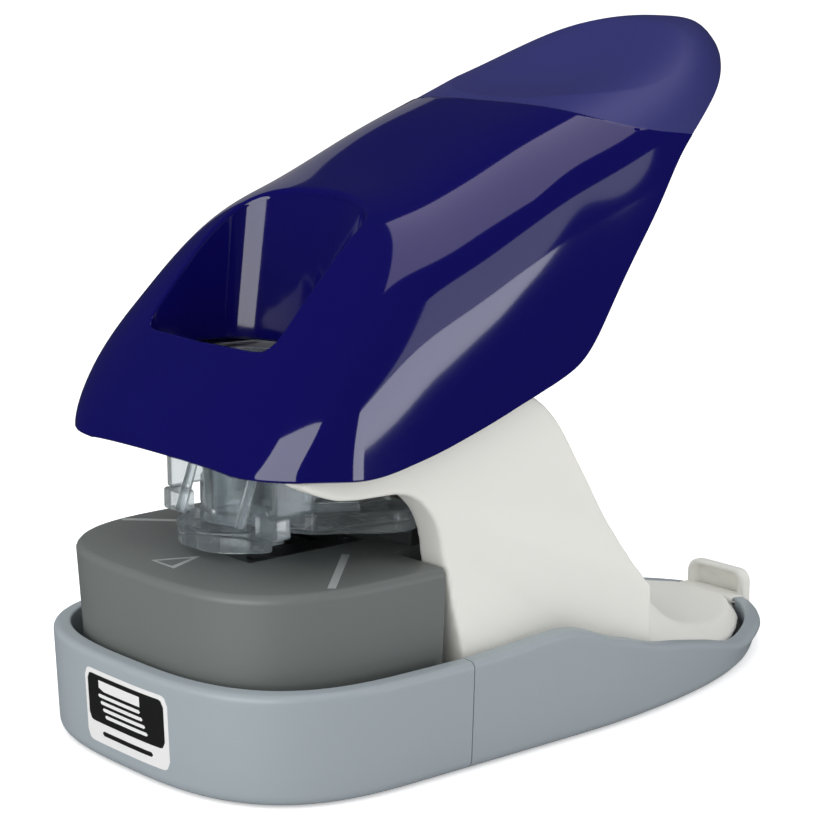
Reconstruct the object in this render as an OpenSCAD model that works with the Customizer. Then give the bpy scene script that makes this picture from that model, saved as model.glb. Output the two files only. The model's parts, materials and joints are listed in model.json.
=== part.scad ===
// Desktop lever stapler of the staple-free kind: a front-hinged handle drives
// a punch carriage that cuts a paper tongue and tucks it through a slit.
// Millimetres, +Z up, front faces -Y, origin on the floor at the middle of the base.

/* [Base] */
// Half of the overall width of the base
base_half = 35.1; // [34.9:0.1:35.3]
// Wall thickness of the base shells
base_wall = 2.8; // [2.4:0.1:2.8]
// Height of the front base ring
ring_top = 17.4; // [17.0:0.1:17.6]
// Height of the table surface above the floor
table_top = 31; // [31:0.1:31.1]

/* [Handle] */
// Wall thickness of the handle cover
shell_t = 2.0; // [1.6:0.1:2.1]
// Lengthwise sections used for the handle cover
shell_n = 44; // [30:2:50]
// Points around half of each handle section
shell_m = 11; // [8:1:12]

/* [Mechanism] */
// Radius of the two handle pivot pins
pivot_r = 2.0; // [1.8:0.1:2.2]
// Radius of the two carriage guide posts
post_r = 2.5; // [2.3:0.1:2.6]
// Radial running clearance of the pivots and posts
run_c = 0.05; // [0.03:0.01:0.08]
// Radius of the drive pin
drive_r = 1.5; // [1.3:0.1:1.5]
// Turns in each carriage return spring
ret_turns = 7; // [5:1:8]
// Turns in each presser spring
pre_turns = 5; // [4:1:6]

/* [Hidden] */

// a plan point and its mirror image across x = 0
function pair(x, y) = [[x, y], [-x, y]];

// axes that run along x, as [y, z]
PIVOT = [-46, 55];
DRIVE = [-21, 52];
TUCK = [-42, 17.5];
RELEASE = [62.6, 4.2];
CUTTER_SCREW = [-36, 49.5];

// upright axes, as [x, y]
POSTS = pair(11, -13.5);
FEET = concat(pair(22, -50), pair(17, 38));
TABLE_SCREWS = pair(13, -58.4);
CHASSIS_SCREWS = concat(pair(14, -15), pair(14, 2));
BOSSES = concat(pair(12, -8), pair(12, 11));

base_end = 67.4;          // the base reaches this far to front and back
seam = -26.3;             // plane where the two base shells meet
bot = 0.3;                // underside of the base shells
plate_top = 2.8;          // top of the bottom plate
screw_r = 1.25;           // shank of the base and handle screws
foot_r = 5;
tuck_r = 1.0;             // tucker pin
release_r = 0.8;          // release pin
cutter_screw_r = 0.9;
bush_r = 3.2;             // outside of the pivot bushes
boss_r = 5;               // round of the frames about the pivot
slot_gap = 0.3;           // clearance of the drive pin in its slots

GREY = [0.62, 0.67, 0.71];
IVORY = [0.88, 0.88, 0.85];
FRAME_METAL = [0.66, 0.67, 0.69];
SCREW_METAL = [0.6, 0.6, 0.62];
PIN_METAL = [0.8, 0.8, 0.82];
POST_METAL = [0.82, 0.82, 0.84];
BLADE_METAL = [0.72, 0.73, 0.75];
WIRE_METAL = [0.78, 0.78, 0.8];

// ---- curves and lofts ----
// table of [x, value] read at x along a smooth curve, held constant past its ends
function span(table, x, i = 0) =
  (i >= len(table) - 2 || x < table[i + 1][0]) ? i : span(table, x, i + 1);
function slope(table, i) = let(a = max(i - 1, 0), b = min(i + 1, len(table) - 1))
  (table[b][1] - table[a][1]) / (table[b][0] - table[a][0]);
function value_at(table, x) = let(last = table[len(table) - 1])
  x <= table[0][0] ? table[0][1] :
  x >= last[0] ? last[1] :
  let(i = span(table, x), h = table[i + 1][0] - table[i][0], s = (x - table[i][0]) / h)
  (2*s*s*s - 3*s*s + 1) * table[i][1] + (s*s*s - 2*s*s + s) * h * slope(table, i)
  + (3*s*s - 2*s*s*s) * table[i + 1][1] + (s*s*s - s*s) * h * slope(table, i + 1);

// Catmull-Rom curve through plane points, in steps a span; the last point is left off
function spline(a, b, c, d, t) =
  0.5 * ((2*b) + (c - a)*t + (2*a - 5*b + 4*c - d)*t*t + (3*b - a - 3*c + d)*t*t*t);
function curve(pts, steps = 4) = [for (i = [0 : len(pts) - 2], j = [0 : steps - 1])
  spline(pts[max(i - 1, 0)], pts[i], pts[i + 1], pts[min(i + 2, len(pts) - 1)], j / steps)];

// points mirrored across x = 0 in reverse order, and an outline closed with them
function flipped(pts) = [for (i = [len(pts) - 1 : -1 : 0]) [-pts[i][0], pts[i][1]]];
function symmetric(half, tip = []) = concat(half, tip, flipped(half));

// solid through closed rings of equal length
module loft(rows) {
  n = len(rows);
  m = len(rows[0]);
  polyhedron(points = [for (row = rows) for (p = row) p],
    faces = concat([[for (j = [0 : m - 1]) j]],
      [for (i = [0 : n - 2], j = [0 : m - 1])
        [i*m + j, (i + 1)*m + j, (i + 1)*m + (j + 1) % m, i*m + (j + 1) % m]],
      [[for (j = [m - 1 : -1 : 0]) (n - 1)*m + j]]), convexity = 8);
}

// rings of a helical wire with its base at z = 0
function coil(radius, wire, height, turns, steps = 15, sides = 6) =
  [for (i = [0 : turns * steps])
    let(a = 360 * i / steps,
      mid = [radius * cos(a), radius * sin(a),
        wire + (height - 2*wire) * i / (turns * steps)])
    [for (j = [0 : sides - 1]) let(b = -360 * j / sides)
      mid + wire * [cos(b) * cos(a), cos(b) * sin(a), sin(b)]]];

// ---- placing ----
module up(z) translate([0, 0, z]) children();
module at_each(places, z = 0) for (p = places) translate([p[0], p[1], z]) children();
module both() {
  children();
  mirror([1, 0, 0]) children();
}
// plate from x = from to x = to, its outline drawn in [y, z]
module side(from, to) {
  translate([from, 0, 0]) multmatrix([[0, 0, 1, 0], [1, 0, 0, 0], [0, 1, 0, 0], [0, 0, 0, 1]])
    linear_extrude(to - from) children();
}
// rod along x about an axis given as [y, z]
module rod_x(from, to, radius, axis, fn = 48) {
  translate([from, axis[0], axis[1]]) rotate([0, 90, 0])
    cylinder(r = radius, h = to - from, $fn = fn);
}
// block centred on x = 0, with its front at y and its underside at z
module box(size, y, z) translate([-size[0] / 2, y, z]) cube(size);
// cross-slotted screw, head downwards, underside of the head at z = 0
module screw(head_r, head_h, shank_h, slot_h, slot_below) difference() {
  union() {
    cylinder(r = head_r, h = head_h, $fn = 32);
    up(head_h) cylinder(r = screw_r, h = shank_h, $fn = 32);
  }
  up(-slot_below) linear_extrude(slot_h) {
    square([3.2, 0.7], center = true);
    square([0.7, 3.2], center = true);
  }
}
// side outline of a frame with a round about the pivot
module cheek(outline) union() {
  polygon(outline);
  translate(PIVOT) circle(r = boss_r, $fn = 64);
}
// slot for the drive pin, running along its own x
module drive_slot(start, length) {
  radius = drive_r + slot_gap;
  for (x = [start, start + length]) translate([x, 0]) circle(r = radius, $fn = 40);
  translate([start, -radius]) square([length, 2 * radius]);
}

// ---- base ----
// squared oval ahead of mid_y, straight sides behind it
module front_plan(half, front, back, squareness = 2.9) {
  mid_y = -35;
  oval = [for (i = [0 : 17]) let(a = 5 * i)
    [half * pow(cos(a), 2 / squareness), mid_y - (mid_y - front) * pow(sin(a), 2 / squareness)]];
  polygon(symmetric(concat([[half, back]], oval), [[0, front]]));
}
module base_front_plan(inset, back = seam)
  front_plan(base_half - inset, -base_end + inset, back);

// right side of the rear shell for a half width of 35.1, as [x, y]
TAIL = [[35.1, -26.3], [35.1, -8], [34.9, 4], [34.0, 14], [32.4, 24], [30.0, 34],
  [26.9, 43], [22.6, 51], [16.8, 58.4], [9.2, 64.2], [0, 67.4]];
module base_rear_plan(inset) {
  k = (base_end - inset - seam) / (base_end - seam);
  outer = curve([for (t = TAIL) [t[0] + base_half - 35.1, t[1]]]);
  polygon(symmetric([for (p = outer)
    [p[0] * (base_half - inset) / base_half - 0.35 * inset * max(0, p[1] - 10) / 60,
      seam + (p[1] - seam) * k]], [[0, base_end - inset]]));
}

// rim of the rear shell as [y, height relative to ring_top]
RIM = [[-26.3, 0], [-18, 0.4], [-10, 0.9], [-6, 0.9], [-2, 0.1], [0, -0.7], [5.6, -2.8],
  [9, -3.7], [15.7, -5.8], [22.4, -7.1], [32.6, -9.5], [41.8, -11.9], [52, -12.3], [71, -12.3]];

// three plans stacked from the underside, so that the lower edge steps in
module stepped(height) {
  up(bot) linear_extrude(0.6) children(0);
  up(bot + 0.6) linear_extrude(1.0) children(1);
  up(bot + 1.6) linear_extrude(height) children(2);
}

module base_front() color(GREY) difference() {
  stepped(ring_top - bot - 1.6) {
    base_front_plan(1.2);
    base_front_plan(0.4);
    base_front_plan(0);
  }
  // the openings leave an inward ledge above the bottom plate
  up(plate_top + 2) linear_extrude(40) base_front_plan(base_wall, seam + 1);
  up(-1) linear_extrude(20) base_front_plan(base_wall + 2, seam + 1);
  up(-1) linear_extrude(plate_top + 1) base_front_plan(base_wall, seam + 1);
}

module base_rear() color(GREY) difference() {
  intersection() {
    stepped(30) {
      base_rear_plan(1.2);
      base_rear_plan(0.4);
      base_rear_plan(0);
    }
    side(-50, 50) polygon(concat(curve([for (t = RIM) [t[0], ring_top + t[1]]], 3),
      [[71, ring_top - 12.3], [71, 0], [seam, 0]]));
  }
  up(-1) linear_extrude(40) base_rear_plan(base_wall);
  box([14.6, 10, 10], 60, 2.6);
  rod_x(-9.5, 9.5, release_r, RELEASE, 24);
}

module bottom_plate() color([0.16, 0.17, 0.18]) difference() {
  up(bot) linear_extrude(plate_top - bot) union() {
    base_front_plan(base_wall + 0.1, seam + 2);
    base_rear_plan(base_wall + 0.1);
  }
  at_each(FEET) cylinder(r = foot_r, h = 1.8, $fn = 48);
  at_each(concat(TABLE_SCREWS, CHASSIS_SCREWS)) {
    cylinder(r = 3, h = 1.9, $fn = 32);
    cylinder(r = 1.6, h = 5, $fn = 32);
  }
}

module rubber_feet() color([0.12, 0.12, 0.12]) at_each(FEET) {
  cylinder(r = foot_r - 0.1, h = 1.0, $fn = 48);
  up(1.0) cylinder(r = foot_r, h = 0.8, $fn = 48);
}

module base_screws() color(SCREW_METAL) at_each(concat(TABLE_SCREWS, CHASSIS_SCREWS), 1.1)
  screw(head_r = 2.8, head_h = 0.8, shank_h = 6.1, slot_h = 0.5, slot_below = 0.1);

// ---- table, die and tucker ----
module table_plan(inset) {
  front_plan(28.8 - inset, -63.4 + inset, -27.4 - inset, 3.1);
  translate([-17 + inset, -40]) square([34 - 2 * inset, 19.8 - inset]);
}

module paper_table() color([0.43, 0.45, 0.45]) difference() {
  union() {
    difference() {
      union() {
        up(12.5) linear_extrude(table_top - 13.4) table_plan(0);
        up(table_top - 0.9) linear_extrude(0.5) table_plan(0.3);
        up(table_top - 0.4) linear_extrude(0.4) table_plan(0.8);
      }
      up(12) linear_extrude(table_top - 14.6) table_plan(2.2);
    }
    at_each(TABLE_SCREWS, plate_top) cylinder(r = 2.6, h = 12, $fn = 32);
    both() translate([10.2, -48, 20]) cube([2.4, 24, 9]);
  }
  // recess for the die plate and the opening below it
  box([16.4, 22.4, 3], -48.2, table_top - 1.6);
  box([13.2, 19.2, 30], -46.6, 10);
  at_each(TABLE_SCREWS) cylinder(r = screw_r, h = 8.1, $fn = 32);
}

module die_plate() color([0.3, 0.31, 0.32]) difference() {
  box([16, 22, 1.5], -48, table_top - 1.5);
  // openings under the tongue cutter and the slit blade
  box([5.9, 6.2, 6], -39.6, table_top - 3);
  box([7.2, 1.6, 6], -32.6, table_top - 3);
  at_each(concat(pair(6, -46), pair(6, -28)), table_top - 3) cylinder(r = 0.9, h = 6, $fn = 24);
}

module back_stops() color([0.22, 0.23, 0.24]) {
  both() difference() {
    translate([13.2, -22.8, table_top]) cube([3.0, 2.0, 8]);
    translate([14.1, -23.5, table_top + 2]) cube([1.2, 1.2, 4.6]);
  }
  box([32.4, 2.0, 1.4], -22.8, table_top);
}

module tucker_bracket() color([0.7, 0.7, 0.72]) difference() {
  union() {
    both() translate([4.4, -45, 13]) cube([1.4, 16, table_top - 14.5]);
    box([11.6, 16, 1.4], -45, 13);
  }
  rod_x(-7, 7, tuck_r, TUCK, 32);
}

module tucker_pin() color(PIN_METAL) rod_x(-6.3, 6.3, tuck_r, TUCK, 32);

module tucker_spring() color([0.75, 0.75, 0.77])
  translate([3.1, TUCK[0], TUCK[1]]) rotate([0, 90, 0]) up(-0.9)
    loft(coil(radius = 1.9, wire = 0.22, height = 1.9, turns = 3, steps = 14));

module tuck_finger() color(WIRE_METAL) difference() {
  side(-1.8, 1.8) union() {
    translate(TUCK) circle(r = 1.9, $fn = 40);
    polygon([[-43.6, 18.2], [-40.4, 18.4], [-39.6, 21.0], [-40.2, 21.6], [-42.2, 20.8]]);
  }
  rod_x(-3, 3, tuck_r + run_c, TUCK, 32);
}

// ---- arm housing and chassis ----
// side outline of the housing as [y, z]: front edge going down, back edge going up
ARCH = [[-53.4, 46.9], [-50.3, 45.3], [-46, 43.9], [-40, 43.5], [-35, 43.2], [-31.8, 41.9],
  [-29.1, 39.1], [-27.6, 35.8], [-26.8, 31], [-26.0, 25], [-24.9, 17], [-24.4, 10], [-24.4, 2.8]];
BACK = [[60.9, 4.6], [60.5, 5.5], [55, 5.9], [47, 6], [39, 7.6], [30, 10.6], [24.3, 13.6],
  [16.4, 20.6], [6.7, 34.2], [-0.7, 46.7], [-4, 51.2], [-7.6, 54.3], [-12, 56.5]];
// back wall of the cavity as [y, z]
BACK_INNER = [[18, 12], [12, 19.5], [3.2, 33.4], [-4.2, 45.2], [-8, 50.6]];
// right side of the housing seen from the front, as [x, z]
FLARE = [[30.8, 2.8], [30.8, 17], [30.5, 20], [29.8, 24.5], [29.2, 29], [28.7, 34],
  [28.5, 45], [28.2, 58]];
// right side of the housing seen from above, as [x, y]
HOUSING_PLAN = [[30.5, -53.8], [32, -45], [31.9, 2], [31.4, 8], [30.7, 14], [29.5, 20],
  [28.2, 26], [26.3, 33], [23.8, 40], [20.5, 47], [17.1, 52], [13.5, 56.5], [10.7, 59],
  [8.0, 60.9]];

module arm_housing() color(IVORY) difference() {
  intersection() {
    side(-40, 40) polygon(concat(curve(ARCH), [[-24.4, 2.8], [60.9, 2.8]], curve(BACK),
      [[-12, 56.5], [-30, 55], [-36, 52.5], [-42, 50.3], [-50.6, 48.3], [-52.8, 47.2]]));
    translate([0, 70, 0]) rotate([90, 0, 0]) linear_extrude(140) polygon(symmetric(FLARE));
    // smooth on the right, straight between the points on the left
    linear_extrude(80)
      polygon(concat(curve(HOUSING_PLAN, 3), [[0, 60.9]], flipped(HOUSING_PLAN)));
  }
  side(-22.7, 22.7) polygon(concat([[-60, -1], [24, -1], [24, 6]], curve(BACK_INNER),
    [[-8, 50.6], [-9.3, 52], [6, 52], [6, 70], [-60, 70]]));
  side(-28.6, 28.6) polygon([[-16, 2], [10, 2], [10, 15], [4, 26], [-14, 26]]);
}

// chassis cheek as [y, z]
FRAME = [[-51.2, 55], [-50, 51], [-47, 49.6], [-30, 48.2], [-24.4, 46], [-20.6, 38],
  [-19.9, 26], [-19.9, 2.8], [7, 2.8], [7, 22], [1.5, 32], [-6, 44], [-10, 51],
  [-13, 58.6], [-40, 59.2], [-48, 60]];

module chassis() color(FRAME_METAL) difference() {
  union() {
    both() side(17.9, 19.9) difference() {
      cheek(FRAME);
      translate(DRIVE) rotate(-90) drive_slot(0, 10.6);
      translate([-6, 18]) circle(r = 5, $fn = 48);
    }
    // lower and upper bridges that hold the posts, then the floor
    box([36, 8.6, 2.5], -17.6, 19);
    box([36, 8, 2.4], -17, 55.8);
    box([36, 26.9, 2], -19.9, plate_top);
  }
  both() rod_x(16, 21, pivot_r, PIVOT, 64);
  at_each(POSTS, 18) cylinder(r = post_r, h = 42, $fn = 64);
  at_each(CHASSIS_SCREWS, 2) cylinder(r = screw_r, h = 4, $fn = 32);
}

// thin sheet across the front of the chassis, and a strip at each side
module throat_liner() color([0.08, 0.08, 0.09]) {
  side(-17.6, 17.6) polygon([[-19.6, 6], [-18.7, 6], [-18.7, 33.5], [-19.6, 33.5]]);
  both() side(20.2, 22.4)
    polygon([[-24.4, 30], [-21.6, 18.6], [-20.4, 18.6], [-21.8, 31], [-23.2, 36]]);
}

module guide_posts() color(POST_METAL)
  at_each(POSTS, 19) cylinder(r = post_r, h = 40, $fn = 64);

module pivot_pins() color(POST_METAL) both() {
  rod_x(17.4, 23.6, pivot_r, PIVOT, 64);
  rod_x(16.4, 17.85, 3, PIVOT);
}

module pivot_clips() color([0.3, 0.3, 0.32]) both() difference() {
  rod_x(22.5, 23.1, 3.8, PIVOT);
  rod_x(22, 24, pivot_r, PIVOT);
  translate([21, PIVOT[0] - 1.3, PIVOT[1]]) cube([4, 2.6, 6]);
}

// ---- label and release tab ----
module info_label() color([0.95, 0.95, 0.95]) intersection() {
  up(3.0) linear_extrude(11.8) difference() {
    base_front_plan(-0.12);
    base_front_plan(0, seam + 1);
  }
  translate([-9, -75, 0]) cube([21.6, 20, 20]);
}

module release_pin() color(PIN_METAL) rod_x(-9.3, 9.3, release_r, RELEASE, 24);

module release_tab() color(IVORY) difference() {
  union() {
    box([13.8, 5.7, 2.1], 61.4, 3.1);
    box([13.8, 2.6, 4.4], 64.5, 3.1);
    box([9.8, 2.6, 4.3], 64.5, 5.2);
    both() translate([4.9, 64.5, 7.5]) rotate([-90, 0, 0]) cylinder(r = 2, h = 2.6, $fn = 32);
  }
  box([9.2, 1.3, 2.6], 64, 5.6);
  rod_x(-8, 8, release_r + run_c, RELEASE, 24);
}

// ---- handle ----
nose_y = -59.4;           // foremost point
heel_y = 53.8;            // rearmost point
nose_r = 14.3;            // corner radius of the nose in plan
nose_flat = 18.0;         // half width of the nose between its corners
// [square root of the distance behind the nose, crown height]
CROWN = [[0, 48.1], [1, 53.1], [1.67, 56.4], [2.37, 61.1], [2.7, 62.9], [3.56, 68.8],
  [4.44, 76.8], [5.18, 83], [6.08, 86.5], [6.87, 90.3], [7.6, 94.9], [8.46, 99.8],
  [9.2, 104.6], [9.92, 109.8], [10.38, 110.6], [10.64, 109.2]];
// [y, height of the lower edge]
EDGE = [[-59.4, 48.3], [-50.2, 48.2], [-45.3, 47.8], [-40.3, 48], [-35.3, 48.8],
  [-30.1, 49.9], [-24.7, 51.4], [-19.4, 53], [-13.9, 54.8], [-5.9, 57.6], [0.5, 61.1],
  [5.9, 69.1], [11.1, 76.5], [15.4, 82], [19, 87], [21.9, 90.5], [29.3, 96.1], [37.8, 101],
  [45.5, 105], [52, 107.8], [53.8, 108.9]];
// [y, depth of the full section]; ahead of the first entry it ends at the lower edge
DEPTH = [[-13.9, 35.1], [-5.9, 35.5], [0.5, 36.8], [5.9, 37.4], [54, 37]];
// [y, superellipse exponent of the section]
SQUARENESS = [[-59.4, 1.83], [-47, 3.49], [-39.5, 3.29], [-33, 2.88], [-23, 3.62],
  [-12, 4.08], [-1.6, 3.69], [20, 4.14], [38, 3.29], [54, 2.88]];
// [square root of the distance ahead of the heel, half width], behind the nose corners
WIDTH = [[0, 0], [1.34, 11.4], [2.88, 21], [4, 26.4], [4.95, 30.6], [5.65, 31.7],
  [6.4, 31.1], [8.2, 31.5], [11, 32.4]];
function crown(y) = value_at(CROWN, sqrt(max(0, y - nose_y)));
function edge(y) = value_at(EDGE, y);
function depth(y) = y < DEPTH[0][0] ? crown(y) - edge(y) : value_at(DEPTH, y);
function half_width(y, inset) = y < nose_y + nose_r
  ? nose_flat + sqrt(max(0, pow(nose_r - inset, 2) - pow(max(0, nose_r - (y - nose_y)), 2)))
  : value_at(WIDTH, sqrt(max(0, heel_y - y))) - inset;

// superelliptic arch at y, reaching the angle reach either side of the crown
function arch(y, half, top, drop, reach) = let(n = value_at(SQUARENESS, y))
  [for (i = [-shell_m : shell_m]) let(a = reach * i / shell_m)
    [half * sign(a) * pow(abs(sin(a)), 2 / n), y,
      top - drop * (1 - pow(max(0, cos(a)), 2 / n))]];
// outer section, from one lower edge over the crown to the other
function outside(y) = let(top = crown(y), drop = max(0.5, depth(y)),
  level = max(0, min(1, 1 - (top - edge(y)) / drop)))
  arch(y, half_width(y, 0), top, drop, acos(pow(level, value_at(SQUARENESS, y) / 2)));
// cavity section, carried straight down to z = 30
function inside(y) = let(half = max(0.3, half_width(y, shell_t)))
  concat([[-half, y, 30]],
    arch(y, half, crown(y - shell_t) - 0.6 * shell_t, max(0.5, depth(y) - 0.4 * shell_t), 90),
    [[half, y, 30]]);
// section places, closer together towards the nose
function stations(start, length) = [for (i = [0 : shell_n])
  let(q = 0.16 + (sqrt(length) - 0.16) * i / shell_n) start + q * q];
module handle_solid() loft([for (y = stations(nose_y, heel_y - nose_y - 0.06)) outside(y)]);
module handle_hollow() loft([
  for (y = stations(nose_y + shell_t, heel_y - nose_y - 2.4 * shell_t)) inside(y)]);

// right half of the window outline at z = 84, as [x, y]: flat front, straight sides,
// bowed back; the back wall leans forwards going down
WELL = [[0, -50.6], [8, -50.4], [13.4, -50.0], [15.5, -49.1], [16.3, -47.2], [16.3, -42],
  [16.3, -38], [15.9, -34.6], [15.3, -32], [14.2, -30.2], [11.8, -28.7], [8, -27.5],
  [4, -26.8], [0, -26.6]];
function well_row(grow, z) = let(k = (84 - z) / 24, mid_y = -39,
  right = [for (p = curve(WELL, 2))
    let(x = p[0] * (1 + grow / 16.3), y = mid_y + (p[1] - mid_y) * (1 + grow / 12))
    [x * (1 - 0.03 * k), y - 4 * k * (y - WELL[0][1]) / 24, z]])
  concat(right, [for (i = [len(right) - 2 : -1 : 1]) [-right[i][0], right[i][1], z]]);
module well(grow, from, to) loft([well_row(grow, from), well_row(grow, to)]);

module handle_cover() color([0.09, 0.07, 0.38]) difference() {
  union() {
    difference() {
      handle_solid();
      handle_hollow();
    }
    // window walls and screw bosses, trimmed to the outer surface
    intersection() {
      handle_solid();
      union() {
        difference() {
          well(1.5, 61, 112);
          well(-1, 50, 114);
        }
        at_each(BOSSES, 76) cylinder(r = 3.3, h = 40, $fn = 32);
      }
    }
  }
  well(0, 50, 114);
  at_each(BOSSES, 70) cylinder(r = screw_r, h = 15, $fn = 32);
}

// lever cheek as [y, z]
LEVER = [[-50, 52], [-46, 50], [-30, 48.6], [-26, 48.2], [-15.2, 48.6], [-14, 51],
  [-14.5, 60], [-15.5, 72.4], [14, 72.6], [16, 74], [16, 76], [-19.5, 76], [-21, 66],
  [-25, 59], [-40, 59.6], [-49, 59]];

module lever_frame() color(FRAME_METAL) difference() {
  union() {
    both() side(20.4, 22.2) difference() {
      cheek(LEVER);
      translate(DRIVE) rotate(22) drive_slot(-0.35, 4.35);
    }
    box([42, 35, 2], -19, 74);
  }
  both() rod_x(20, 23, bush_r, PIVOT, 64);
  at_each(BOSSES, 73) cylinder(r = 1.5, h = 4, $fn = 32);
  box([12, 18, 4], -10, 73);
}

module handle_screws() color(SCREW_METAL) at_each(BOSSES, 72.3)
  screw(head_r = 2.7, head_h = 1.7, shank_h = 9.5, slot_h = 1, slot_below = 0.3);

module pivot_bushes() color([0.75, 0.62, 0.35]) both() difference() {
  rod_x(20.2, 22.35, bush_r, PIVOT, 64);
  rod_x(20, 23, pivot_r + run_c, PIVOT, 64);
}

// ---- punch carriage ----
module punch_carriage() color([0.2, 0.21, 0.22]) difference() {
  union() {
    box([24, 21, 8.6], -39, 46);
    box([31.2, 8.6, 8.6], -18.2, 46);
  }
  at_each(POSTS, 40) cylinder(r = post_r + run_c, h = 20, $fn = 64);
  rod_x(-17, 17, drive_r, DRIVE);
  // pockets for the tongue cutter and the slit blade
  box([6.1, 5.75, 12], -39.6, 41);
  box([5.7, 1.0, 12], -32.45, 41);
  rod_x(-13, 13, cutter_screw_r, CUTTER_SCREW, 24);
  both() rod_x(10.7, 13, 1.8, CUTTER_SCREW, 24);
  box([18, 5, 8], -29, 49);
}

module drive_pin() color(POST_METAL) rod_x(-22.3, 22.3, drive_r, DRIVE);

module tongue_cutter() color(BLADE_METAL) difference() {
  box([5.4, 5.2, 18.6], -39.3, 33.4);
  box([4.2, 8, 15], -38.5, 30);
  // slanted lower end
  translate([-4, -39.5, 33.4]) rotate([35, 0, 0]) translate([0, -1, -6]) cube([8, 12, 6]);
}

module slit_blade() color(BLADE_METAL) difference() {
  side(-2.6, 2.6)
    polygon([[-32.3, 34.6], [-31.95, 33.8], [-31.6, 34.6], [-31.6, 52], [-32.3, 52]]);
  box([3.8, 3, 2.2], -33, 36);
}

module cutter_screws() color(SCREW_METAL) both() difference() {
  union() {
    rod_x(3.0, 10.8, cutter_screw_r, CUTTER_SCREW, 24);
    rod_x(10.8, 11.9, 1.6, CUTTER_SCREW, 24);
  }
  translate([11.5, CUTTER_SCREW[0] - 0.3, 47]) cube([1, 0.6, 5]);
}

module return_springs() color(WIRE_METAL) at_each(POSTS, 21.5)
  loft(coil(radius = 3.7, wire = 0.55, height = 24.5, turns = ret_turns));

module presser_springs() color(WIRE_METAL) at_each(pair(9.6, -34), 34.6)
  loft(coil(radius = 1.5, wire = 0.28, height = 11.4, turns = pre_turns, steps = 16));

// ---- clear presser ----
// right half of its outline as [x, y]
WING = [[0, -53.2], [4.2, -52.9], [6.6, -50.6], [7.2, -46.6], [9.4, -43.6], [12.5, -42.2],
  [15.4, -40.2], [17.6, -36.6], [20.4, -33.4], [22.2, -29.8], [22.0, -26.4], [19.4, -24.4]];
module wing_plan(grow) offset(delta = grow)
  polygon(symmetric(concat(curve(WING), [WING[len(WING) - 1]])));

module clear_presser() color([0.75, 0.85, 0.9, 0.4]) difference() {
  union() {
    up(33.4) linear_extrude(4.6) wing_plan(0);
    up(38) linear_extrude(9) intersection() {
      wing_plan(-2.2);
      translate([-16.8, -60]) square([33.6, 40]);
    }
    translate([0, -42.5, 32.2]) cylinder(r = 6.8, h = 29.3, $fn = 64);
    both() translate([10.4, -51.6, 35]) {
      cube([5.6, 1.6, 15]);
      cube([1.6, 12, 12]);
    }
  }
  box([25, 30, 21], -39.6, 34.6);
  box([8.4, 9.6, 9], -39.8, 30);
  translate([0, -42.5, 36]) cylinder(r = 5.2, h = 30, $fn = 64);
  box([46, 4, 30], -24.8, 30);
}

base_front();
base_rear();
bottom_plate();
rubber_feet();
base_screws();
paper_table();
die_plate();
back_stops();
tucker_bracket();
tucker_pin();
tucker_spring();
arm_housing();
chassis();
throat_liner();
guide_posts();
pivot_pins();
pivot_clips();
info_label();
release_pin();
release_tab();
handle_cover();
lever_frame();
handle_screws();
pivot_bushes();
punch_carriage();
drive_pin();
tongue_cutter();
slit_blade();
cutter_screws();
return_springs();
presser_springs();
clear_presser();
tuck_finger();
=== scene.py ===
"""A staple-free desktop stapler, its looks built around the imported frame.

It stands on z = 0, with x across, the front towards -y and the tail towards +y.
Lengths are millimetres unless noted; meshes, lights and camera are placed in metres.
"""
import bpy
import bmesh
import json
import math
import numpy as np
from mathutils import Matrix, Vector
from mathutils.bvhtree import BVHTree


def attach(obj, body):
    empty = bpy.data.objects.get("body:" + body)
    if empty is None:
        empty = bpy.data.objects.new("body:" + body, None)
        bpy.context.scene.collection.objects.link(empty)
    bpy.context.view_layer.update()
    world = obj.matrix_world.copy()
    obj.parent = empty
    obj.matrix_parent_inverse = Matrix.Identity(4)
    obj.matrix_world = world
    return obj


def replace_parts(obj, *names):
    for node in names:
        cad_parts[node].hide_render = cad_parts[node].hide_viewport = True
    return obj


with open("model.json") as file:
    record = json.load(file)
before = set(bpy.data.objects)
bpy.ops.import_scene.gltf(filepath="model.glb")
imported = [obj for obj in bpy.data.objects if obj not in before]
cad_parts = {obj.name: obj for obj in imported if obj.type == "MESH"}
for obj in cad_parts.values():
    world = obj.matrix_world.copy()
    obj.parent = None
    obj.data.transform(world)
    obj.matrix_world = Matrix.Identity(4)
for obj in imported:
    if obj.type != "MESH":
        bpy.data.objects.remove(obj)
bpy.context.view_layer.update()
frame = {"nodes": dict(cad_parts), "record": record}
MM = 0.001


# ------------------------------------------------------------------ curves and outlines
def smooth_table(table, at):
    """Hermite interpolation through a table of (position, value) rows"""
    X, Y = np.asarray(table, float).T
    rows = np.arange(len(X))
    after, before = np.minimum(rows + 1, len(X) - 1), np.maximum(rows - 1, 0)
    slope = (Y[after] - Y[before]) / (X[after] - X[before])
    at = np.clip(np.asarray(at, float), X[0], X[-1])
    i = np.clip(np.searchsorted(X, at, side="right") - 1, 0, len(X) - 2)
    h = X[i + 1] - X[i]
    s = (at - X[i]) / h
    return ((2*s**3 - 3*s**2 + 1) * Y[i] + (s**3 - 2*s**2 + s) * h * slope[i]
            + (3*s**2 - 2*s**3) * Y[i + 1] + (s**3 - s**2) * h * slope[i + 1])


def curve(points, steps):
    """open Catmull-Rom curve through the points"""
    points = np.asarray(points, float)
    last = len(points) - 1
    out = []
    for i in range(last):
        a, b, c, d = (points[min(max(j, 0), last)] for j in range(i - 1, i + 3))
        for j in range(steps):
            t = j / steps
            out.append(0.5 * ((2*b) + (c - a)*t + (2*a - 5*b + 4*c - d)*t*t
                              + (3*b - a - 3*c + d)*t**3))
    out.append(points[-1])
    return np.array(out)


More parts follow.
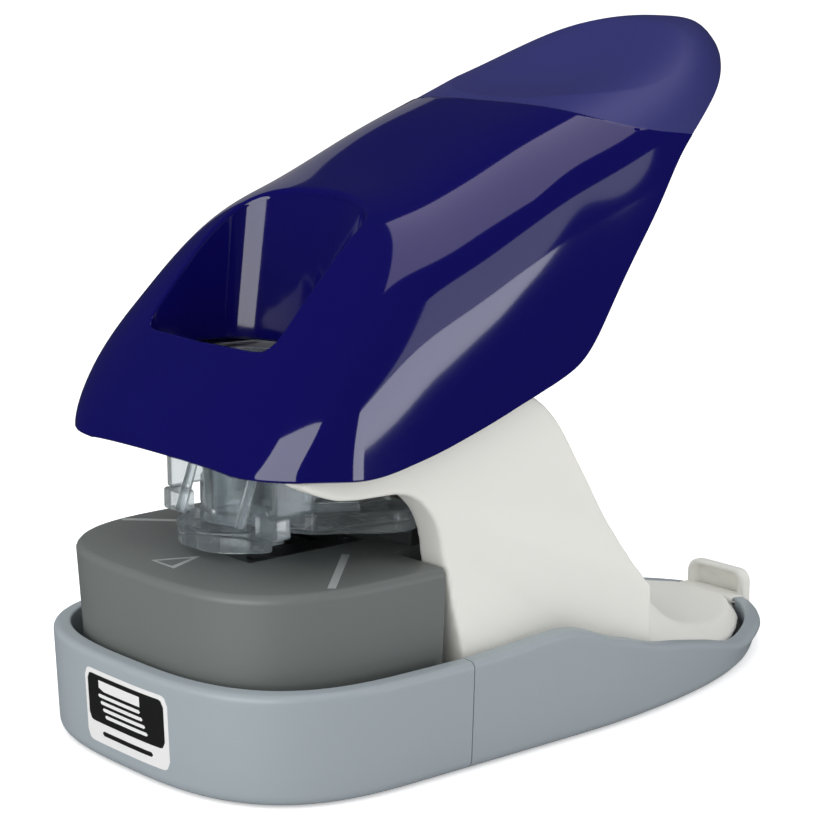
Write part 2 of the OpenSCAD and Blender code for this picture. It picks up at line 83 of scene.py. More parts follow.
def smoothstep(low, high, x):
    t = np.clip((x - low) / (high - low), 0, 1)
    return t*t*(3 - 2*t)


def arc_lengths(line):
    return np.r_[0, np.cumsum(np.hypot(*np.diff(line, axis=0).T))]


def even(line, count, closed=False):
    """points evenly spaced along a plan line"""
    if closed:
        line = np.vstack([line, line[:1]])
    length = arc_lengths(line)
    at = np.linspace(0, length[-1], count, endpoint=not closed)
    return np.column_stack([np.interp(at, length, line[:, 0]), np.interp(at, length, line[:, 1])])


def right_normals(line, closed=False):
    """unit normals on the right-hand side of the direction of travel"""
    if closed:
        d = np.roll(line, -1, 0) - np.roll(line, 1, 0)
    else:
        d = np.gradient(line, axis=0)
    n = np.column_stack([d[:, 1], -d[:, 0]])
    return n / np.maximum(1e-9, np.linalg.norm(n, axis=1, keepdims=True))


def corner(cx, cy, radius, start, count):
    """quarter circle, anticlockwise from the start angle in degrees"""
    return [(cx + radius * math.cos(math.radians(t)), cy + radius * math.sin(math.radians(t)))
            for t in np.linspace(start, start + 90, count)]


# ------------------------------------------------------------------ mesh helpers
def add_object(name, data):
    obj = bpy.data.objects.new(name, data)
    bpy.context.scene.collection.objects.link(obj)
    return obj


def shade(obj, angle=None):
    """smooth shading, with edges sharper than the angle in degrees kept sharp"""
    polygons = obj.data.polygons
    polygons.foreach_set("use_smooth", [True] * len(polygons))
    if angle is not None:
        obj.data.set_sharp_from_angle(angle=math.radians(angle))


def fix_normals(obj, change=None):
    """turn all faces outwards, after an optional change to the bmesh"""
    bm = bmesh.new()
    bm.from_mesh(obj.data)
    if change:
        change(bm)
    bmesh.ops.recalc_face_normals(bm, faces=bm.faces)
    bm.to_mesh(obj.data)
    bm.free()


def mesh(name, verts, faces, material, body, angle=None, smooth=True, fix=True):
    data = bpy.data.meshes.new(name)
    data.from_pydata([tuple(v) for v in (np.asarray(verts, float) * MM)], [],
                     [tuple(int(i) for i in f) for f in faces])
    data.validate()
    data.update()
    obj = add_object(name, data)
    if material:
        data.materials.append(MATERIALS[material])
    if smooth:
        shade(obj, angle)  # before the fix too, so that it carries no flat-face flags over
    if fix:
        fix_normals(obj)
        if smooth:
            shade(obj, angle)
    if body:
        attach(obj, body)
    return obj


def grid_faces(rows, columns, closed=False, start=0, flip=False):
    faces = []
    for i in range(rows - 1):
        for j in range(columns if closed else columns - 1):
            a, b, k = start + i*columns, start + (i + 1)*columns, (j + 1) % columns
            quad = (a + j, b + j, b + k, a + k)
            faces.append(quad[::-1] if flip else quad)
    return faces


def end_caps(rows, columns):
    return [tuple(range(columns)),
            tuple(range(rows*columns - 1, (rows - 1)*columns - 1, -1))]


def loft(name, rings, material, body, angle=None, ends="capped", smooth=True):
    """closed rings of equal count in order; the ends are capped, open or joined together"""
    rows, m = len(rings), len(rings[0])
    faces = grid_faces(rows, m, True)
    if ends == "capped":
        faces += end_caps(rows, m)
    elif ends == "joined":
        last = (rows - 1) * m
        faces += [(last + j, j, (j + 1) % m, last + (j + 1) % m) for j in range(m)]
    return mesh(name, np.concatenate(rings), faces, material, body, angle, smooth)


def add_bevel(obj, width, segments, angle=35):
    bevel = obj.modifiers.new("edge_round", "BEVEL")
    bevel.width = width * MM
    bevel.segments = segments
    bevel.limit_method = "ANGLE"
    bevel.angle_limit = math.radians(angle)
    bevel.harden_normals = True
    bevel.use_clamp_overlap = True


def prism(name, outline, start, end, material, body, bevel, segments, angle=40, axis="z"):
    """an outline pushed along z, or along x for an outline given as (y, z)"""
    outline = np.asarray(outline, float)
    n = len(outline)

    def place(height):
        level = np.full(n, height)
        return np.column_stack([outline, level] if axis == "z" else [level, outline])
    faces = [(i, (i+1) % n, n + (i+1) % n, n + i) for i in range(n)] + end_caps(2, n)
    obj = mesh(name, np.concatenate([place(start), place(end)]), faces, material, body,
               angle=angle)
    add_bevel(obj, bevel, segments)
    return obj


def apply_modifiers(obj):
    graph = bpy.context.evaluated_depsgraph_get()
    data = bpy.data.meshes.new_from_object(obj.evaluated_get(graph),
                                           preserve_all_data_layers=True, depsgraph=graph)
    old = obj.data
    obj.modifiers.clear()
    obj.data = data
    if old.users == 0:
        bpy.data.meshes.remove(old)


def join(name, parts, material, body):
    verts, faces, start = [], [], 0
    for part in parts:
        data = part.data
        verts.append(np.array([vert.co for vert in data.vertices], float) / MM)
        faces += [tuple(start + i for i in polygon.vertices) for polygon in data.polygons]
        start += len(data.vertices)
    obj = mesh(name, np.concatenate(verts), faces, material, body, fix=False)
    for part in parts:
        bpy.data.objects.remove(part)
    return obj


# ------------------------------------------------------------------ shader helpers
def fill(tree, node, inputs):
    """a socket is linked to the input; anything else becomes its value"""
    for key, value in inputs.items():
        if isinstance(value, bpy.types.NodeSocket):
            tree.links.new(value, node.inputs[key])
        else:
            node.inputs[key].default_value = value


def add(tree, kind, inputs={}, **settings):
    node = tree.nodes.new("ShaderNode" + kind)
    for key, value in settings.items():
        setattr(node, key, value)
    fill(tree, node, inputs)
    return node


def new_material(name):
    """the material, its node tree and its Principled node"""
    material = bpy.data.materials.new(name)
    material.use_nodes = True
    tree = material.node_tree
    return material, tree, tree.nodes["Principled BSDF"]


def tint(colour, factor=1):
    return (*[min(1, c * factor) for c in colour], 1)


def noise(tree, vector, scale, detail, **more):
    inputs = {"Vector": vector, "Scale": scale, "Detail": detail, **more}
    return add(tree, "TexNoise", inputs).outputs["Fac"]


def object_coordinates(tree):
    return add(tree, "TexCoord").outputs["Object"]


def mix_colours(tree, fraction, first, second):
    mix = add(tree, "Mix", data_type="RGBA")
    fill(tree, mix, {0: fraction, 6: first, 7: second})
    return mix.outputs[2]


def mix_shaders(tree, fraction, first, second):
    return add(tree, "MixShader", {0: fraction, 1: first, 2: second}).outputs[0]


def map_to(tree, value, low, high):
    inputs = {"Value": value, "To Min": low, "To Max": high}
    return add(tree, "MapRange", inputs).outputs["Result"]


def bump_normal(tree, height, strength, distance):
    """distance is in metres"""
    inputs = {"Height": height, "Strength": strength, "Distance": distance}
    return add(tree, "Bump", inputs).outputs["Normal"]


def calculate(tree, operation, first, second, clamp=False):
    return add(tree, "Math", {0: first, 1: second},
               operation=operation, use_clamp=clamp).outputs[0]


# ------------------------------------------------------------------ materials
def plastic(name, colour, roughness, grain, bump, drift, specular=0.5, coat=0.0, subsurface=0.0):
    """moulded plastic: fine grain bump, slight drift of colour and roughness"""
    material, tree, surface = new_material(name)
    place = object_coordinates(tree)
    fine = noise(tree, place, scale=grain, detail=6, Roughness=0.62)
    cloud = noise(tree, place, scale=28, detail=3)
    fill(tree, surface, {
        "Base Color": mix_colours(tree, cloud, tint(colour, 1 - drift), tint(colour, 1 + drift)),
        "Roughness": map_to(tree, fine, max(0.02, roughness - 0.06), roughness + 0.06),
        "Normal": bump_normal(tree, fine, bump, distance=0.00004),
        "Specular IOR Level": specular, "Coat Weight": coat, "Coat Roughness": 0.05})
    if subsurface:
        fill(tree, surface, {"Subsurface Weight": subsurface, "Subsurface Radius": (1, 0.9, 0.8),
                             "Subsurface Scale": 0.002})
    return material


def brushed(name, colour, roughness, axis, scale=60, bump=0.08):
    """metal with streaks running along one axis (0 is x)"""
    material, tree, surface = new_material(name)
    stretch = [scale * 40] * 3
    stretch[axis] = scale
    mapping = add(tree, "Mapping", {"Vector": object_coordinates(tree), "Scale": stretch})
    streaks = noise(tree, mapping.outputs["Vector"], scale=1.0, detail=4)
    ramp = add(tree, "ValToRGB", {"Fac": streaks})
    for element, factor in zip(ramp.color_ramp.elements, (0.72, 1.15)):
        element.color = tint(colour, factor)
    fill(tree, surface, {
        "Base Color": ramp.outputs["Color"],
        "Roughness": map_to(tree, streaks, roughness - 0.1, roughness + 0.12),
        "Normal": bump_normal(tree, streaks, bump, distance=0.00003),
        "Metallic": 1.0})
    return material


BLUE = (0.0042, 0.0030, 0.088)
# satin pad colour: the same blue plastic, made lighter and greyer than the gloss blue, with the
# pad's broad sheen painted into it
SATIN_BLUE_PAINTED_SHEEN = (0.021, 0.024, 0.165)
# parting line between gloss and satin: z, y of the line at that height
SATIN_POINTS = [(90.0, 39.5), (92.3, 31.5), (93.3, 24.0), (94.0, 18.4), (95.0, 13.6),
                (96.0, 10.3), (97.5, 7.0), (98.2, 6.0), (100.0, 5.0)]
SATIN_LOW = SATIN_POINTS[0][0]
SATIN_RISE = 10.0
SATIN_REACH = 40.0      # y that counts as 1 in the curve node
SATIN_FLOOR = 85.0      # no satin below this height


def cover_material():
    """glossy blue with a satin grained pad behind a curved parting line, the pad coloured a
    lighter blue that holds a painted sheen; also returns the parting line's y at 401 even heights"""
    material, tree, surface = new_material("cover_blue")

    def calc(*args):
        return calculate(tree, *args)
    place = object_coordinates(tree)
    axes = add(tree, "SeparateXYZ", {0: place}).outputs
    y = calc("MULTIPLY", axes["Y"], 1000.0)
    z = calc("MULTIPLY", axes["Z"], 1000.0)

    parting = add(tree, "FloatCurve")
    mapping = parting.mapping
    line = mapping.curves[0]
    points = [((pz - SATIN_LOW) / SATIN_RISE, py / SATIN_REACH) for pz, py in SATIN_POINTS]
    line.points[0].location = points[0]
    line.points[-1].location = points[-1]
    for point in points[1:-1]:
        line.points.new(*point)
    mapping.update()
    mapping.initialize()
    samples = np.array([mapping.evaluate(line, t) * SATIN_REACH for t in np.linspace(0, 1, 401)])
    height = calc("MULTIPLY", calc("SUBTRACT", z, SATIN_LOW), 1 / SATIN_RISE, True)
    fill(tree, parting, {"Value": height})
    behind = calc("SUBTRACT", y, calc("MULTIPLY", parting.outputs[0], SATIN_REACH))
    blend = calc("ADD", calc("MULTIPLY", behind, 5.0), 0.5, True)
    satin = calc("MULTIPLY", blend, calc("GREATER_THAN", z, SATIN_FLOOR))

    grain = noise(tree, place, scale=1900, detail=5, Roughness=0.65)
    cloud = noise(tree, place, scale=35, detail=2)
    gloss_colour = mix_colours(tree, cloud, tint(BLUE, 0.95), tint(BLUE, 1.06))
    roughness = add(tree, "Mix", data_type="FLOAT")
    fill(tree, roughness, {0: satin, 2: 0.07, 3: 0.44})
    relief = calc("MULTIPLY", calc("MULTIPLY", grain, 0.9), satin)
    fill(tree, surface, {
        # the satin pad takes the lighter colour with its painted sheen
        "Base Color": mix_colours(tree, satin, gloss_colour, tint(SATIN_BLUE_PAINTED_SHEEN)),
        "Roughness": roughness.outputs[0],
        "Normal": bump_normal(tree, relief, strength=0.35, distance=0.00012),
        "Specular IOR Level": 0.5,
        "Coat Weight": calc("MULTIPLY", calc("SUBTRACT", 1.0, satin), 0.35),
        "Coat Roughness": 0.03})
    return material, samples


def clear_material():
    """clear moulded plastic: mostly refracting, partly plain see-through, slightly milky"""
    material, tree, surface = new_material("clear")
    waves = noise(tree, object_coordinates(tree), scale=140, detail=2)
    fill(tree, surface, {
        "Normal": bump_normal(tree, waves, strength=0.16, distance=0.0005),
        "Base Color": (0.93, 0.975, 0.99, 1), "Transmission Weight": 1.0,
        "IOR": 1.44, "Roughness": 0.02})

    def plain(kind, colour):
        return add(tree, kind, {"Color": colour}).outputs[0]
    see_through = plain("BsdfTransparent", (0.93, 0.97, 0.985, 1))
    milky = mix_shaders(tree, 0.5, plain("BsdfTranslucent", (0.86, 0.95, 1.0, 1)),
                        plain("BsdfDiffuse", (0.84, 0.93, 0.98, 1)))
    body = mix_shaders(tree, 0.22, surface.outputs[0], see_through)
    fill(tree, tree.nodes["Material Output"], {"Surface": mix_shaders(tree, 0.09, body, milky)})
    return material


# name, colour, roughness, grain scale, bump strength, colour drift, other settings
PLASTICS = [
    ("blue_plain", BLUE, 0.09, 400, 0.0, 0.05, {"coat": 0.3}),
    ("arm_white", (0.80, 0.80, 0.755), 0.42, 2600, 0.10, 0.012,
     {"subsurface": 0.15, "specular": 0.4}),
    ("base_grey", (0.330, 0.375, 0.405), 0.40, 2600, 0.10, 0.015, {"specular": 0.45}),
    ("table_grey", (0.150, 0.165, 0.160), 0.44, 3200, 0.16, 0.03, {"specular": 0.45}),
    ("liner_black", (0.012, 0.012, 0.014), 0.5, 1800, 0.15, 0.1, {}),
    ("post_grey", (0.055, 0.058, 0.06), 0.45, 1800, 0.12, 0.06, {}),
    ("rubber", (0.02, 0.02, 0.02), 0.75, 1500, 0.3, 0.1, {"specular": 0.3}),
    ("carriage_black", (0.02, 0.021, 0.023), 0.45, 1500, 0.18, 0.08, {}),
    ("label_white", (0.78, 0.78, 0.78), 0.35, 1200, 0.03, 0.01, {}),
    ("label_black", (0.012, 0.012, 0.012), 0.3, 1200, 0.03, 0.02, {}),
    ("mark_grey", (0.42, 0.45, 0.45), 0.5, 2200, 0.05, 0.03, {}),
    ("icon_grey", (0.50, 0.50, 0.55), 0.4, 2000, 0.04, 0.02, {}),
]
# name, colour, roughness, axis of the streaks, other settings
METALS = [
    ("steel_plate", (0.56, 0.57, 0.59), 0.33, 1, {}),
    ("steel_pin", (0.72, 0.72, 0.74), 0.20, 0, {"scale": 30, "bump": 0.03}),
    ("die_steel", (0.10, 0.10, 0.11), 0.38, 1, {"scale": 80, "bump": 0.1}),
    ("brass", (0.62, 0.44, 0.18), 0.3, 0, {}),
    ("spring_wire", (0.55, 0.55, 0.57), 0.3, 2, {}),
]
COVER_BLUE, SATIN_LINE = cover_material()
MATERIALS = {"cover_blue": COVER_BLUE}
for *values, more in PLASTICS:
    MATERIALS[values[0]] = plastic(*values, **more)
for *values, more in METALS:
    MATERIALS[values[0]] = brushed(*values, **more)
MATERIALS["clear"] = clear_material()

# ------------------------------------------------------------------ handle cover: shape
COVER_FRONT, COVER_BACK = -59.4, 53.8
COVER_CORNER = 14.3     # plan radius of the front corners
COVER_WALL = 2.0
COVER_ROWS, COVER_COLUMNS = 430, 141
# square root of the distance behind the front, height of the crown
CROWN = [
    (0, 48.1), (1, 53.1), (1.67, 56.37), (2.37, 61.08), (2.7, 62.86), (3.56, 68.79),
    (4.44, 76.8), (5.18, 83.03), (6.08, 86.52), (6.87, 90.33), (7.6, 94.91), (8.46, 99.78),
    (9.2, 104.64), (9.92, 109.75), (10.38, 110.59), (10.64, 109.2)]
# y, height of the side edge
EDGE = [
    (-59.4, 48.29), (-50.2, 48.24), (-45.3, 47.78), (-40.3, 47.95), (-35.3, 48.84),
    (-30.1, 49.9), (-24.7, 51.4), (-19.4, 52.96), (-13.9, 54.83), (-5.9, 57.56), (0.5, 61.12),
    (5.9, 69.09), (11.1, 76.46), (15.4, 82.04), (19, 87.03), (21.9, 90.47), (29.3, 96.12),
    (37.8, 101.01), (45.5, 105.02), (52, 107.81), (53.8, 108.92)]
# y, depth of the full cross-section below the crown
DEPTH = [(-13.9, 35.12), (-5.9, 35.52), (0.5, 36.75), (5.9, 37.37), (54, 37.02)]
# y, superellipse exponent of the cross-section
SQUARENESS = [
    (-59.4, 1.83), (-47, 3.49), (-39.5, 3.29), (-33, 2.88), (-23, 3.62), (-12, 4.08),
    (-1.6, 3.69), (20, 4.14), (38, 3.29), (54, 2.88)]
# square root of the distance ahead of the back, half width
HALF_WIDTH = [
    (0, 0), (1.34, 11.45), (2.88, 20.96), (4, 26.38), (4.95, 30.61), (5.65, 31.7),
    (6.4, 31.1), (8.2, 31.52), (11, 32.35)]


def ease(at, values, reach):
    """even out ripples with a local parabola fitted under a bell-shaped weight"""
    out = np.empty_like(values)
    reach = np.broadcast_to(reach, values.shape)
    for i in range(len(at)):
        root = np.sqrt(np.exp(-0.5 * ((at - at[i]) / reach[i]) ** 2))
        terms = np.stack([np.ones_like(at), at - at[i], (at - at[i]) ** 2], 1)
        out[i] = np.linalg.lstsq(terms * root[:, None], values * root, rcond=None)[0][0]
    return out


def eased_tables():
    root = np.linspace(0.0, math.sqrt(COVER_BACK - COVER_FRONT), 170)
    y = COVER_FRONT + root * root
    back_root = np.sqrt(np.maximum(0, COVER_BACK - y))
    crown_z = ease(root, smooth_table(CROWN, root),
                   np.minimum(3.0 / np.maximum(root, 0.6), 1.05))
    edge_z = ease(y, smooth_table(EDGE, y), 2.7)
    square = ease(y, smooth_table(SQUARENESS, y), 12.0)
    depth = np.where(y < DEPTH[0][0], crown_z - edge_z, smooth_table(DEPTH, y))
    raw = smooth_table(HALF_WIDTH, back_root)
    width = ease(back_root, raw, np.where(back_root < 3, 0.35, 1.1))
    width = np.where(back_root < 0.6, raw, width)
    return (np.column_stack([root, crown_z]), np.column_stack([y, edge_z]),
            np.column_stack([y, ease(y, depth, 5.0)]), np.column_stack([y, square]),
            np.column_stack([back_root[::-1], width[::-1]]))


CROWN_EASED, EDGE_EASED, DEPTH_EASED, SQUARE_EASED, WIDTH_EASED = eased_tables()


def cover_crown(y):
    return smooth_table(CROWN_EASED, np.sqrt(np.maximum(0, y - COVER_FRONT)))


def cover_edge(y):
    return smooth_table(EDGE_EASED, y)


def cover_depth(y):
    k = smoothstep(-24.0, -8.0, y)
    return (1 - k) * (cover_crown(y) - cover_edge(y)) + k * smooth_table(DEPTH_EASED, y)


def cover_half_width(y):
    ahead = np.maximum(0, COVER_CORNER - (y - COVER_FRONT))
    cut = COVER_CORNER - np.sqrt(np.maximum(0, COVER_CORNER**2 - ahead**2))
    return smooth_table(WIDTH_EASED, np.sqrt(np.maximum(0, COVER_BACK - y))) - cut


def cover_point(y, across):
    """across runs from -1 at the left edge to 1 at the right edge"""
    y, across = np.broadcast_arrays(y, across)
    top, depth = cover_crown(y), np.maximum(0.5, cover_depth(y))
    n = smooth_table(SQUARE_EASED, y)
    cosine = np.clip(1 - (top - cover_edge(y)) / depth, 0, 1) ** (n / 2)
    angle = np.arccos(cosine) * across
    x = cover_half_width(y) * np.sign(angle) * np.abs(np.sin(angle)) ** (2 / n)
    return np.stack([x, y, top - depth * (1 - np.cos(angle) ** (2 / n))], -1)


def cover_top(x, y):
    """height of the cover over a plan point"""
    n = smooth_table(SQUARE_EASED, y)
    width = np.maximum(1e-3, cover_half_width(y))
    fall = 1 - np.maximum(0, 1 - (np.abs(x) / width) ** n) ** (1 / n)
    return cover_crown(y) - np.maximum(0.5, cover_depth(y)) * fall


def grid_normals(points):
    n = np.cross(np.gradient(points, axis=1), np.gradient(points, axis=0))
    n /= np.maximum(1e-9, np.linalg.norm(n, axis=-1, keepdims=True))
    return -n if n[COVER_ROWS // 2, COVER_COLUMNS // 2, 2] < 0 else n


def cover_skins():
    """outer and inner grids of the shell, and the normals of the plain surface"""
    root = np.linspace(0.11, math.sqrt(COVER_BACK - COVER_FRONT - 0.02), COVER_ROWS)
    y = COVER_FRONT + root * root
    plain = cover_point(y[:, None], np.linspace(-1, 1, COVER_COLUMNS)[None, :])
    normals = grid_normals(plain)
    # satin pad: a small step down at the parting line and a shallow oval dish
    heights = np.linspace(SATIN_LOW, SATIN_LOW + SATIN_RISE, len(SATIN_LINE))
    behind = plain[..., 1] - np.interp(plain[..., 2], heights, SATIN_LINE)
    step = 0.14 * smoothstep(-0.25, 0.25, behind)
    oval = (plain[..., 0] / 22.5) ** 2 + ((plain[..., 1] - 24.6) / 16.4) ** 2
    dish = 1.8 * np.clip(1 - oval, 0, 1)
    outer = plain - normals * (step + dish)[..., None]
    inner = plain - normals * (COVER_WALL + 0.6 * dish)[..., None]
    return outer, inner, normals


def cover_shell(outer, inner, normals):
    """the two skins joined by a rounded rim all round"""
    rows, columns, rim_steps = COVER_ROWS, COVER_COLUMNS, 5
    skin = rows * columns
    faces = grid_faces(rows, columns) + grid_faces(rows, columns, start=skin, flip=True)
    border = ([(0, j) for j in range(columns)]
              + [(i, columns - 1) for i in range(1, rows)]
              + [(rows - 1, j) for j in range(columns - 2, -1, -1)]
              + [(i, 0) for i in range(rows - 2, 0, -1)])
    i, j = np.array(border).T
    count = len(border)
    edge, edge_normals = outer[i, j], normals[i, j]
    along = np.roll(edge, -2, 0) - np.roll(edge, 2, 0)
    along /= np.maximum(1e-9, np.linalg.norm(along, axis=1, keepdims=True))
    outward = np.cross(edge_normals, along)
    outward /= np.maximum(1e-9, np.linalg.norm(outward, axis=1, keepdims=True))
    inward = outer[np.clip(i, 6, rows - 7), np.clip(j, 6, columns - 7)] - edge
    outward *= np.where((outward * inward).sum(1) > 0, -1.0, 1.0)[:, None]
    rim = []
    half = COVER_WALL / 2
    for k in range(1, rim_steps + 1):
        turn = math.pi * k / (rim_steps + 1)
        rim.append(edge - edge_normals * half + edge_normals * (half * math.cos(turn))
                   + outward * (0.55 * math.sin(turn)))
    ids = [i * columns + j]
    ids += [2 * skin + k * count + np.arange(count) for k in range(rim_steps)]
    ids += [skin + i * columns + j]
    for a, b in zip(ids, ids[1:]):
        for s in range(count):
            t = (s + 1) % count
            faces.append((a[s], a[t], b[t], b[s]))
    verts = np.concatenate([outer.reshape(-1, 3), inner.reshape(-1, 3)] + rim)
    return mesh("handle_cover_shell", verts, faces, "cover_blue", None)


# ------------------------------------------------------------------ handle cover: window
WELL_TOP, WELL_DEPTH = 84.0, 24.0
WELL_FRONT, WELL_LENGTH = -50.6, 24.0
WINDOW_ROUND = 0.8      # rounding of the window's edge
# right half of the window: x, y
WELL_HALF = [
    (0, -50.6), (8, -50.4), (13.4, -50.0), (15.5, -49.1), (16.3, -47.2), (16.3, -42),
    (16.3, -38), (15.9, -34.6), (15.3, -32), (14.2, -30.2), (11.8, -28.7), (8, -27.5),
    (4, -26.8), (0, -26.6)]
half = curve(WELL_HALF, 14)
WELL = even(np.vstack([half, (half[::-1] * [-1, 1])[1:-1]]), 240, closed=True)
WELL_NORMALS = right_normals(WELL, closed=True)


def well_ring(z):
    """the well narrows and its back wall leans forwards going down"""
    k = (WELL_TOP - z) / WELL_DEPTH
    y = WELL[:, 1] - 4 * k * (WELL[:, 1] - WELL_FRONT) / WELL_LENGTH
    return np.column_stack([WELL[:, 0] * (1 - 0.03 * k), y, np.broadcast_to(z, len(WELL))])


def grown_ring(z, growth):
    return well_ring(z) + np.column_stack([WELL_NORMALS * growth, np.zeros(len(WELL))])


def window_heights(growth):
    """height of the cover along the grown outline, solved against the leaning wall"""
    z = np.full(len(WELL), 75.0)
    for _ in range(30):
        ring = grown_ring(z, growth)
        z = cover_top(ring[:, 0], ring[:, 1])
    return z


def cut_window(cover):
    r = WINDOW_ROUND
    # growth of the outline, height above the cover
    steps = [(0.9 * r, 4.0), (0.9 * r, 0.02)]
    steps += [(r * (1 - math.sin(a)), -r * (1 - math.cos(a)) * 0.9)
              for a in np.radians([20, 40, 60, 78])]
    steps += [(0, -r)]
    rings = []
    for growth, rise in steps:
        z = window_heights(growth)
        ring = grown_ring(z, growth)
        ring[:, 2] = z + rise
        rings.append(ring)
    rings.append(well_ring(60.0))
    cutter = loft("window_cutter", rings, None, None)
    cut = cover.modifiers.new("cut", "BOOLEAN")
    cut.operation = "DIFFERENCE"
    cut.solver = "EXACT"
    cut.object = cutter
    apply_modifiers(cover)
    bpy.data.objects.remove(cutter)
    shade(cover, 32)


def set_true_normals(cover, outer):
    """outer face takes the surface's own normals, so reflections run clean past the window"""
    quads = grid_faces(COVER_ROWS, COVER_COLUMNS)
    points, normals = outer.reshape(-1, 3), grid_normals(outer).reshape(-1, 3)
    nearest = BVHTree.FromPolygons([tuple(v) for v in points], quads)
    data = cover.data

    def surface_normal(index):
        co = Vector(data.vertices[index].co) / MM
        face = nearest.find_nearest(co, 0.03)[2]
        if face is None:
            return None
        quad = np.array(quads[face])
        weight = 1 / (1e-6 + np.linalg.norm(points[quad] - np.array(co), axis=1))
        weight /= weight.sum()
        normal = (normals[quad] * weight[:, None]).sum(0)
        return normal / np.linalg.norm(normal)
    custom = np.zeros((len(data.loops), 3))     # zero keeps the automatic normal
    known = {}
    for polygon in data.polygons:
        if (Vector(polygon.center) / MM).z < 47:
            continue
        for loop in polygon.loop_indices:
            index = data.loops[loop].vertex_index
            if index not in known:
                known[index] = surface_normal(index)
            normal = known[index]
            if normal is not None and np.dot(normal, np.array(polygon.normal)) > 0.88:
                custom[loop] = normal
    data.normals_split_custom_set([tuple(v) for v in custom])


def build_cover():
    outer, inner, normals = cover_skins()
    cover = cover_shell(outer, inner, normals)
    cut_window(cover)
    set_true_normals(cover, outer)
    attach(cover, "handle")
    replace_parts(cover, "handle_cover")


def build_well():
    """walls of the well below the window"""
    inner_top = window_heights(0.0) - WINDOW_ROUND - 0.25
    outer_top = window_heights(1.5) - 1.2
    # height, distance outside the well's face
    section = [(61.4, 1.5), (outer_top, 1.5), (inner_top, 0.0), (61.4, 0.0), (61.0, 0.35),
               (61.0, 1.15)]
    loft("handle_window_well", [grown_ring(z, growth) for z, growth in section],
         "blue_plain", "handle", angle=35, ends="joined")


def build_boss(name, cx, cy):
    """hollow screw boss under the cover"""
    top = cover_top(cx, cy)
    bore, foot = 1.3, 76.0
    # radius, height
    section = [(bore, foot), (3.0, foot), (3.3, 76.3), (3.4, top - 6), (4.2, top - 2.6),
               (bore, top - 2.6), (bore, 85.0), (1.25, 76.2)]
    turns = np.linspace(0, 2 * math.pi, 40, endpoint=False)
    rings = [np.array([(cx + r * math.cos(t), cy + r * math.sin(t), z) for t in turns])
             for r, z in section]
    boss = loft(name, rings, "blue_plain", "handle", angle=40, ends="open")
    fix_normals(boss, lambda bm: bmesh.ops.bridge_loops(
        bm, edges=[e for e in bm.edges if e.is_boundary]))
    shade(boss, 40)


build_cover()
build_well()
for k, (cx, cy) in enumerate([(12, -8), (-12, -8), (12, 11), (-12, 11)]):
    build_boss("handle_boss_%d" % (k + 1), cx, cy)

# ------------------------------------------------------------------ base
BASE_HALF_WIDTH, BASE_FRONT = 35.1, -67.4
ROUND_START = -35.0     # y where the straight sides turn into the rounded front
SEAM = -26.3            # y where the front ring meets the rear shell
SEAM_GAP = 0.09         # each side of the seam
RING_TOP = 17.4
BASE_BOTTOM, BASE_WALL, BASE_DRAFT = 0.3, 2.8, 0.6
# right half of the rear shell: x, y
TAIL = [
    (BASE_HALF_WIDTH, SEAM), (BASE_HALF_WIDTH, -8), (34.9, 4), (34.0, 14), (32.4, 24),
    (30.0, 34), (26.9, 43), (22.6, 51), (16.8, 58.4), (9.2, 64.2), (0, 67.4)]
# y, rise of the rear shell's rim above the front ring
RIM_RISE = [
    (SEAM, 0), (-18, 0.4), (-10, 0.9), (-6, 0.9), (-2, 0.1), (0, -0.7), (5.6, -2.8),
    (9, -3.7), (15.7, -5.8), (22.4, -7.1), (32.6, -9.5), (41.8, -11.9), (52, -12.3),
    (71, -12.3)]
RIM = [(y, RING_TOP + rise) for y, rise in RIM_RISE]


def rounded_front(half_width, front, back, count=60, power=2.9):
    """from the right side's back end forwards and round to the left side's back end"""
    a = np.linspace(0, math.pi / 2, count)
    right = np.column_stack([half_width * np.cos(a) ** (2 / power),
                             ROUND_START - (ROUND_START - front) * np.sin(a) ** (2 / power)])
    y = np.linspace(back, ROUND_START, 10)[:-1]
    right = np.vstack([np.column_stack([np.full(9, half_width), y]), right])
    return np.vstack([right, right[::-1][1:] * [-1, 1]])


def wall_profile(top, foot=1.7, draft=BASE_DRAFT):
    """closed wall section as (inset, z), rounded at the foot and along the rim"""
    bottom, wall = BASE_BOTTOM, BASE_WALL
    foot = min(foot, (top - bottom) * 0.4)
    lip = min(1.15, (top - bottom) * 0.35)
    rise = top - lip - bottom - foot
    quarter = np.linspace(0, math.pi / 2, 7)
    profile = [(wall, bottom)]
    profile += [(draft + foot * (1 - math.sin(a)) * 0.75, bottom + foot * (1 - math.cos(a)))
                for a in quarter]
    profile += [(draft * (1 - s), bottom + foot + rise * s) for s in (0.25, 0.5, 0.75, 0.96)]
    profile += [(lip * (1 - math.cos(a)), top - lip + lip * math.sin(a) * 0.93)
                for a in quarter]
    profile.append((wall - 0.5, top))
    profile += [(wall - 0.3 * (1 - math.cos(a)), top - 0.3 + 0.3 * math.sin(a))
                for a in np.linspace(math.pi / 2, 0, 4)]
    profile.append((wall + 0.05, top - min(1.6, (top - bottom) * 0.45)))
    profile.append((wall + 0.1, max(bottom + 0.1, (top + bottom) / 2 - 0.2)))
    return profile


def tail_profile(x, y):
    """the wall drops to a low sill in the middle of the tail"""
    top = 2.5 if abs(x) < 7.3 and y > 60 else float(smooth_table(RIM, y))
    k = float(smoothstep(30, 60, y))
    return wall_profile(top, foot=1.7 + 0.9 * k, draft=BASE_DRAFT + 0.5 * k)


def sweep(name, line, outward, profile):
    """a wall along a plan line; profile(x, y) gives its (inset, z) section"""
    rings = [np.array([(x - nx * inset, y - ny * inset, z) for inset, z in profile(x, y)])
             for (x, y), (nx, ny) in zip(line, outward)]
    return loft(name, rings, "base_grey", "base", angle=42)


